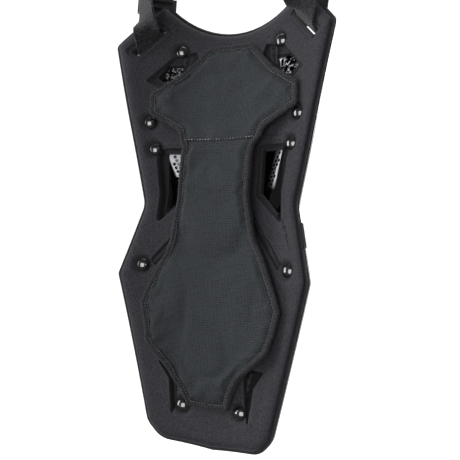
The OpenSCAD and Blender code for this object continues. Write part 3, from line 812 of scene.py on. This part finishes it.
def settle(ob, pinned, cap, frames=20):
    """Cloth pass on a closed piece: the free part swells under pressure and wrinkles against what is sewn down.

    No vertex moves further than cap, in mm.
    """
    group = ob.vertex_groups.new(name="sewn")
    group.add([int(i) for i in np.nonzero(pinned)[0]], 1.0, "REPLACE")
    mod = ob.modifiers.new("cloth", "CLOTH")
    st = mod.settings
    st.quality, st.mass = 6, 0.2
    st.tension_stiffness = st.compression_stiffness = 18
    st.shear_stiffness, st.bending_stiffness = 8, 0.6
    st.vertex_group_mass = "sewn"
    st.use_pressure, st.uniform_pressure_force = True, 4.0
    st.shrink_min = -0.025
    st.effector_weights.gravity = 0
    mod.collision_settings.use_collision = False
    scene = bpy.context.scene
    before = np.array([v.co for v in ob.data.vertices])
    for f in range(1, frames + 1):
        scene.frame_set(f)
    dg = bpy.context.evaluated_depsgraph_get()
    after = np.array([v.co for v in ob.evaluated_get(dg).data.vertices])
    move = after - before
    size = np.linalg.norm(move, axis=1)[:, None] + 1e-9
    move *= cap * MM * np.tanh(size / (cap * MM)) / size
    ob.modifiers.remove(mod)
    ob.vertex_groups.clear()
    scene.frame_set(1)
    ob.data.vertices.foreach_set("co", (before + move).ravel())
    ob.data.update()


def build_pad():
    outline = loop(PAD_EDGE, FIELD_IN)
    rings = [loop(PAD_EDGE, s) for s in (6.2, 6.8, 7.6, 9.0, 11.0)]
    xs = np.arange(-50, 50.1, 2.0)
    rings += [np.column_stack([xs, seam_line(xs) + dz]) for dz in (-3.0, -1.6, -0.8, 0.0, 0.8, 1.6, 3.0)]
    co, faces, loops = fill(outline, [], rings, 3.4, 0.7)
    parts = [raised(co, pad_shape(co[:, 0], co[:, 1], dist(co, PAD_OUT)))]
    all_faces = list(faces)
    # the cloth turns in under the binding, so the piece is closed by the pad's back
    middle, inner, back = (loop(PAD_EDGE, s) for s in (4.4, 12.0, 17.0))

    def front_y(flat):
        return pad_front(flat[:, 0], flat[:, 1])

    def back_y(flat):
        return face_y(flat[:, 0], PAD_BACK)

    prev, count = loops[0], len(co)
    for ring, y in ((middle, front_y(middle) + 3.4), (outline, front_y(outline) + 5.2),
                    (inner, np.maximum(back_y(inner) - 2.4, front_y(inner) + 5.5)), (back, back_y(back) - 0.1)):
        parts.append(raised(ring, y))
        cur = list(range(count, count + len(ring)))
        all_faces += walls(prev, cur)
        prev, count = cur, count + len(ring)
    panel, panel_faces, _ = fill(back, [], [], 8.0, 2.0)
    parts.append(raised(panel, back_y(panel) - 0.1))
    all_faces += [tuple(int(i) + count for i in f[::-1]) for f in panel_faces]
    ob = new_mesh("pad_cloth", np.vstack(parts), all_faces, "pad", [CANVAS, LINING],
                  ["pad_cover", "pad_backing", "pad_core_upper", "pad_core_lower"])
    bm = bmesh.new()
    bm.from_mesh(ob.data)
    bmesh.ops.remove_doubles(bm, verts=bm.verts, dist=0.00005)
    bmesh.ops.recalc_face_normals(bm, faces=bm.faces)
    for f in bm.faces:
        f.smooth = True
        if f.normal.y > 0.3:
            f.material_index = 1
    bm.to_mesh(ob.data)
    bm.free()
    co = np.array([v.co for v in ob.data.vertices]) / MM
    flat = co[:, [0, 2]]
    inner = dist(flat, PAD_OUT)
    seam = np.abs(flat[:, 1] - seam_line(flat[:, 0]))
    front = co[:, 1] < pad_front(flat[:, 0], flat[:, 1]) + 3.0
    settle(ob, ~front | (inner < 7.0) | (seam < 1.2), 2.2)
    # painted shade next to the binding and along the seam, strongest at the binding
    painted_seam_shade = fade(inner, 6.2, 2.2) + 0.45 * fade(seam, 0.2, 0.9) + 0.25 * fade(inner, 7.0, 9.0)
    set_values(ob, "painted_seam_shade", np.clip(painted_seam_shade, 0, 1))
    return ob


pad = build_pad()


# the tape's section, as (inset from the edge, set back from the face), round from the front to the back
TAPE_SECTION = [(7.6, 1.6), (7.5, 0.2), (7.0, -0.3), (6.0, 0.25), (5.2, -0.6), (3.4, -1.0), (1.8, -0.7), (0.7, 0.2),
                (0.2, 1.5), (0.2, 2.9), (0.9, 4.0), (2.4, 4.6), (5.0, 4.8), (7.5, 4.9), (7.5, 4.0), (4.5, 2.4)]


def build_binding():
    rings = []
    for inset, back in TAPE_SECTION:
        ring = loop(PAD_EDGE, inset)
        rings.append(raised(ring, binding_y(ring[:, 0], ring[:, 1], inset) + back))
    m, k = len(rings[0]), len(rings)
    numbers = [list(range(j * m, (j + 1) * m)) for j in range(k)]
    faces = [f for j in range(k) for f in walls(numbers[j], numbers[(j + 1) % k])]
    ob = new_mesh("pad_tape", np.vstack(rings), faces, "pad", TAPE, ["pad_binding"])
    fix_normals(ob)
    edge_split(ob, 60)
    return ob


def edge_stitches(inset=6.4, lift=-0.25):
    ring = loop(PAD_EDGE, inset, 6, 2.0)
    ring = np.vstack([ring, ring[:1]])
    outs = np.column_stack([ring[:, 0] / PAD_FACE_R, -np.ones(len(ring)), np.zeros(len(ring))])
    run = (raised(ring, binding_y(ring[:, 0], ring[:, 1], inset) + lift), outs)
    return stitch_mesh("pad_stitches", [run], 2.3, 3.3, 0.95, "pad", THREAD)


def seam_stitches(above=1.9, lift=0.9, count=60):
    x = np.linspace(-43, 43, count)
    z = seam_line(x) + above
    run = (np.column_stack([x, pad_front(x, z) + lift, z]),
           np.column_stack([x / PAD_FACE_R, -np.ones(count), np.zeros(count)]))
    return stitch_mesh("seam_stitches", [run], 2.0, 3.4, 1.15, "pad", SEAM_THREAD)


binding = build_binding()
pad_threads = edge_stitches()
seam_threads = seam_stitches()
for piece in (pad, binding, pad_threads, seam_threads):
    lay(piece)


# ---- rivets
def lathe(profile, steps=40):
    """(radius, height) points turned round Z, closed on the axis where radius is 0."""
    verts, faces, rings = [], [], []
    for r, h in profile:
        count = steps if r else 1
        rings.append(list(range(len(verts), len(verts) + count)) * (steps // count))
        verts += [(r * math.cos(a), r * math.sin(a), h) for a in np.arange(count) * 2 * math.pi / steps]
    for a, b in zip(rings, rings[1:]):
        faces += [tuple(dict.fromkeys(f)) for f in walls(a, b)]
    return verts, faces


def cap_profile(steps=14):
    """A low dome on a short straight edge."""
    big = (CAP_R ** 2 + CAP_RISE ** 2) / (2 * CAP_RISE)
    radii = [CAP_R * math.cos(math.pi / 2 * k / steps) for k in range(1, steps)] + [0]
    return [(0, 0), (CAP_R, 0), (CAP_R, CAP_EDGE * 0.6)] + [
        (r, CAP_EDGE + CAP_RISE - big + math.sqrt(big * big - r * r)) for r in radii]


def turned_object(name, profile, steps, places):
    """The same turned form at each of the places, in mm, as one object."""
    verts, faces = lathe(profile, steps)
    all_v = [tuple((np.array(v) + at) * MM) for at in places for v in verts]
    all_f = [tuple(i + k * len(verts) for i in f) for k in range(len(places)) for f in faces]
    me = bpy.data.meshes.new(name)
    me.from_pydata(all_v, [], all_f)
    ob = add_object(name, me)
    fix_normals(ob)
    return ob


def build_rivets():
    """One cap with its two pin holes, then a copy of it on each rivet, turned at random."""
    cap = turned_object("cap_tmp", cap_profile(), 40, [(0, 0, 0)])
    pin = [(0, PIN_LOW), (PIN_R, PIN_LOW), (PIN_R, PIN_HIGH), (0, PIN_HIGH)]
    cut = turned_object("cut_tmp", pin, 14, [(-PIN_X, 0, 0), (PIN_X, 0, 0)])
    mod = cap.modifiers.new("holes", "BOOLEAN")
    mod.operation, mod.solver, mod.object = "DIFFERENCE", "EXACT", cut
    dg = bpy.context.evaluated_depsgraph_get()
    source = bpy.data.meshes.new_from_object(cap.evaluated_get(dg))
    bpy.data.objects.remove(cap)
    bpy.data.objects.remove(cut)
    verts, faces = [], []
    for s in (-1, 1):
        for x, z in RIVETS:
            m = at_face(s * x, z, CAP_BACK) @ Matrix.Rotation(rng.uniform(0, math.pi), 4, "Z")
            faces += [tuple(i + len(verts) for i in p.vertices) for p in source.polygons]
            verts += [tuple((m @ v.co) / MM) for v in source.vertices]
    ob = new_mesh("caps", verts, faces, "panel", RIVET, ["rivet_caps"])
    edge_split(ob, 40)


build_rivets()


# ---- straps
OUTER_R, OUTER_X = FACE_R + SHELL_OUT + 5.5, 102.0
OUTER_Y = CENTRE_Y + math.sqrt(OUTER_R ** 2 - OUTER_X ** 2)
OUTER_TURN = -math.asin(OUTER_X / OUTER_R)
LIE = (math.cos(OUTER_TURN), math.sin(OUTER_TURN), 0)
SLOT_LIE = (0.58, -0.39, -0.71)
FRONT_Y, BACK_Y, LEG_TOP = PIVOT_Y - 3, PIVOT_Y + 3, PIVOT_Z - 5
ROUTE = [((STRAP_X, FRONT_Y, LEG_TOP), (1, 0, 0)), ((STRAP_X, FRONT_Y, 320), (1, 0, 0)),
         ((STRAP_X, FRONT_Y, 302), (0.88, 0.47, 0)), ((STRAP_X, -27.3, 285), (0.8, 0.6, 0)),
         ((STRAP_X, -27.5, 270), (0.82, 0.57, 0)), ((96.5, -28, 258), (0.84, 0.54, -0.05)),
         ((96, -28, 247), (0.87, 0.4, -0.2)), ((96.2, -25.6, 238), (0.86, 0.1, -0.42)),
         ((96.9, -20.5, 230.7), (0.74, -0.14, -0.6)), ((97.4, -13.2, 225.6), SLOT_LIE),
         ((97.5, -7, 222.1), SLOT_LIE), ((97.5, 0, 221.3), SLOT_LIE), ((97.5, 7, 222.1), SLOT_LIE),
         ((98, 11, 225.8), (0.6, -0.4, -0.69)), ((99.5, 12.2, 233.4), (0.7, -0.45, -0.55)),
         ((101, 11.6, 243), (0.82, -0.49, -0.28)), ((OUTER_X, OUTER_Y, 254), LIE), ((OUTER_X, OUTER_Y, 292), LIE),
         ((OUTER_X - 1, OUTER_Y - 4, 300), (0.9, -0.43, 0)), ((STRAP_X, BACK_Y + 6, LEG_TOP - 28), (0.99, -0.12, 0)),
         ((STRAP_X, BACK_Y, LEG_TOP - 19), (1, 0, 0)), ((STRAP_X, BACK_Y, LEG_TOP), (1, 0, 0))]


# The left strap lies a few millimetres further in, and more on edge, just above its slot
ROUTE_LEFT = ROUTE[:3] + [((96, -27.3, 285), (0.8, 0.6, 0)),
                          ((94.5, -27.5, 270), (0.8, 0.6, 0)), ((93, -28, 258), (0.8, 0.58, 0)),
                          ((92, -27.5, 247), (0.81, 0.55, -0.1)), ((91.8, -26.5, 238), (0.81, 0.34, -0.3)),
                          ((92.6, -23.5, 230.7), (0.76, 0.02, -0.55)),
                          ((95.4, -15.5, 225.6), (0.62, -0.3, -0.7))] + ROUTE[10:]
# The right one turns a little sooner into its slot
ROUTE_RIGHT = ROUTE[:8] + [((96.4, -20.5, 230.4), (0.8, -0.1, -0.5)), ((96.6, -13.2, 225.8), (0.66, -0.4, -0.63)),
                           ((96.8, -7, 222.6), (0.66, -0.4, -0.63)), ((97, 0, 221.8), (0.62, -0.4, -0.67)),
                           ((97.3, 7, 222.4), SLOT_LIE)] + ROUTE[13:]


def spline(points, per_mm):
    """Points along a smooth curve through the stations; all the values of a station run smoothly."""
    p = np.array(points, float)
    out = []
    for p0, p1, p2, p3 in zip(np.vstack([p[:1], p[:-2]]), p[:-1], p[1:], np.vstack([p[2:], p[-1:]])):
        k = max(2, int(np.linalg.norm(p2[:3] - p1[:3]) * per_mm))
        for t in np.arange(k) / k:
            out.append(0.5 * ((2 * p1) + (-p0 + p2) * t + (2 * p0 - 5 * p1 + 4 * p2 - p3) * t * t
                              + (-p0 + 3 * p1 - 3 * p2 + p3) * t ** 3))
    return np.array(out + [p[-1]])


def unit(vectors):
    return vectors / np.linalg.norm(vectors, axis=1)[:, None]


def ribbon(route, gather, per_mm=0.8, across=14, fray=0.25):
    """Webbing with rounded, slightly frayed edges, drawn in by the share gather just above the slot."""
    full = spline([tuple(c) + tuple(w) for c, w in route], per_mm)
    c, w = full[:, :3], unit(full[:, 3:6])
    t = unit(np.gradient(c, axis=0))
    w = unit(w - t * (w * t).sum(1)[:, None])
    m = np.cross(t, w)
    us = [-1 + 2 * k / across for k in range(across + 1)]
    section = [(u * (0.98 if abs(u) == 1 else 1), 1.0) for u in us] + [(1.0, 0.5), (1.0, -0.5)]
    section += [(-u, -v) for u, v in section]
    verts = []
    for ci, wi, mi in zip(c, w, m):
        drawn_in = 1 - gather * peak(ci[2], 231, 7) * (ci[1] < -8)
        for u, v in section:
            edge = 1 - 0.35 * (abs(u) > 0.98)
            jitter = fray * rng.uniform(-1, 1) if abs(u) > 0.9 else 0
            verts.append(ci + wi * (u * WEB_W / 2 * drawn_in + jitter) + mi * (v * WEB_T / 2 * edge))
    return verts, tube(0, len(c), len(section))


def build_strap(side, s):
    verts, faces = ribbon(ROUTE_RIGHT if s > 0 else ROUTE_LEFT, 0.0 if s > 0 else 0.17)
    verts, faces = [(s * x, y, z) for x, y, z in verts], [f[::s] for f in faces]
    fix_normals(new_mesh("webbing_" + side, verts, faces, "panel", WEBBING, ["strap_loop_" + side]))


def build_strap_end(side, s):
    """Webbing folded round the ring's bar and sewn, coming out of the loop's top."""
    hw, fold, bore_r = 18.6, 4.1, WIRE_R + 0.12
    half = [(1.2, 344.4 + k) for k in range(14)] + [(1.35, 360), (1.6, 364), (2.1, 367.5), (2.9, 370.5)]
    half += [(fold * math.sin(math.radians(a)), RING_Z - fold * math.cos(math.radians(a))) for a in range(60, 176, 12)]
    outline = np.array(half + [(-y, z) for y, z in reversed(half)])
    turns = np.linspace(0, 2 * math.pi, 20, False)
    bore = np.column_stack([bore_r * np.cos(turns), RING_Z + bore_r * np.sin(turns)])
    co, tris, loops = fill(outline, [bore], [], 2.5, 0.5)
    columns = [-hw, -hw + 0.6, -6, 6, hw - 0.6, hw]
    verts = [(STRAP_X * s + x, PIVOT_Y + y * (0.75 if abs(x) == hw else 1.0), z) for x in columns for y, z in co]
    m, last = len(co), (len(columns) - 1) * len(co)
    faces = [tuple(int(i) for i in f) for f in tris] + [tuple(int(i) + last for i in f[::-1]) for f in tris]
    for lp in loops:
        for c in range(0, last, m):
            faces += [(c + i, c + j, c + m + j, c + m + i) for i, j in zip(lp, lp[1:] + lp[:1])]
    end = new_mesh("end_webbing_" + side, verts, faces, "strap_" + side, WEBBING, ["strap_end_" + side])
    fix_normals(end)
    edge_split(end, 50)
    world = end.matrix_world.copy()
    end.parent = None
    end.matrix_world = world
    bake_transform(end)
    runs = []
    count = 20
    for sy in (-1, 1):
        for z, lift in ((363.0, 1.75), (366.0, 2.05)):
            x = STRAP_X * s + np.linspace(-16, 16, count)
            runs.append((np.column_stack([x, np.full((count, 2), (PIVOT_Y + sy * lift, z))]),
                         np.tile([0.0, sy, 0.0], (count, 1))))
    stitch_mesh("end_stitches_" + side, runs, 2.0, 3.0, 0.8, "strap_" + side, DARK_THREAD)


def slit_stitches():
    """The waist loop's sewing through the liner."""
    flat = np.array([(a[0] + (b[0] - a[0]) * k / 4, a[1] + (b[1] - a[1]) * k / 4)
                     for a, b in zip(SLIT, SLIT[1:]) for k in range(5)])
    run = (raised(flat, face_y(flat[:, 0], 0.75)), np.tile([0.4, -0.9, 0.0], (len(flat), 1)))
    stitch_mesh("slit_stitches", [run], 2.6, 4.2, 1.5, "panel", DARK_THREAD)


SIDES = (("left", -1), ("right", 1))
for side, s in SIDES:
    build_strap(side, s)
for side, s in SIDES:
    build_strap_end(side, s)
slit_stitches()

# ---- CAD nodes that stay, with their materials
KEPT = ((SHELL, "outer_shell"), (VENT, "vent_upper_left vent_upper_right vent_mid_left vent_mid_right"),
        (RIVET, "rivet_posts"), (HOOK, "hook_strip_upper hook_strip_middle hook_strip_lower"),
        (HOOK, "hook_tab_left hook_tab_right"),
        (LOOP_TAPE, "loop_patch_upper loop_patch_middle loop_patch_lower"),
        (BUCKLE, "strap_slider_left strap_slider_right"), (RING, "strap_ring_left strap_ring_right"),
        (WEBBING, "waist_loop"))
for mat, names in KEPT:
    for name in names.split():
        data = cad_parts[name].data
        data.materials.clear()
        data.materials.append(mat)


# ---- stage
WHITE = (1, 1, 1)


def build_floor(size, centre):
    n = Material("pale_floor")
    shade = n.mix(n.noise(60, 2, 0.5), (0.9, 0.9, 0.9), (0.93, 0.93, 0.93))
    n.finish(shade, 0.9, Emission_Strength=0.75, Emission_Color=WHITE)
    bm = bmesh.new()
    bmesh.ops.create_grid(bm, x_segments=2, y_segments=2, size=size / 2)
    me = bpy.data.meshes.new("floor")
    bm.to_mesh(me)
    bm.free()
    me.materials.append(n.mat)
    ob = add_object("floor", me)
    ob.location = centre


def build_world():
    """Dim in front of the part and bright behind it; seen directly, the backdrop is pale from every side."""
    world = bpy.data.worlds.new("studio")
    bpy.context.scene.world = world
    world.use_nodes = True
    g = Graph(world.node_tree)
    back = g.tree.nodes["Background"].inputs
    ahead = g.axes(g.add("ShaderNodeTexCoord").outputs["Generated"])["Y"]
    seen = g.add("ShaderNodeLightPath").outputs["Is Camera Ray"]
    g.link(WHITE, back["Color"])
    g.link(g.math("MAXIMUM", g.spread(ahead, -0.05, 0.6, 0.07, 1.15), seen), back["Strength"])


def area(name, where, size, power, size_y=None):
    """A lamp that looks at the origin."""
    lamp = bpy.data.lights.new(name, "AREA")
    lamp.shape = "RECTANGLE"
    lamp.size, lamp.size_y = size, size_y or size
    lamp.energy = power
    ob = add_object(name, lamp)
    ob.location = where
    ob.rotation_mode = "QUATERNION"
    ob.rotation_quaternion = (-Vector(where)).to_track_quat("-Z", "Y")
    return ob


build_floor(14, (0, 8.1, -0.75))
build_world()
area("key", (-0.8, -1.0, 1.1), 1.2, 19).visible_glossy = False
area("front", (0.2, -1.25, -0.2), 1.15, 12.5)
area("strip", (-1.25, -0.5, 0.1), 0.75, 9, 1.1)
area("top", (0.0, 0.1, 1.4), 1.0, 2.0)
area("back", (0.6, 1.3, 0.7), 0.8, 14)

RIGHT, DOWN, FORWARD = (0.9109, 0.4082, 0.0590), (0.0144, 0.1115, -0.9937), (-0.4122, 0.9060, 0.0957)
cam_data = bpy.data.cameras.new("camera")
cam_data.sensor_width = 36.0
cam_data.lens = 46.95652
cam = add_object("camera", cam_data)
cam.rotation_mode = "QUATERNION"
cam.rotation_quaternion = Matrix((RIGHT, -Vector(DOWN), -Vector(FORWARD))).transposed().to_quaternion()
cam.location = Vector((289.58, -594.01, -64.32)) * MM
bpy.context.scene.camera = cam
bpy.context.scene.view_settings.view_transform = "Standard"
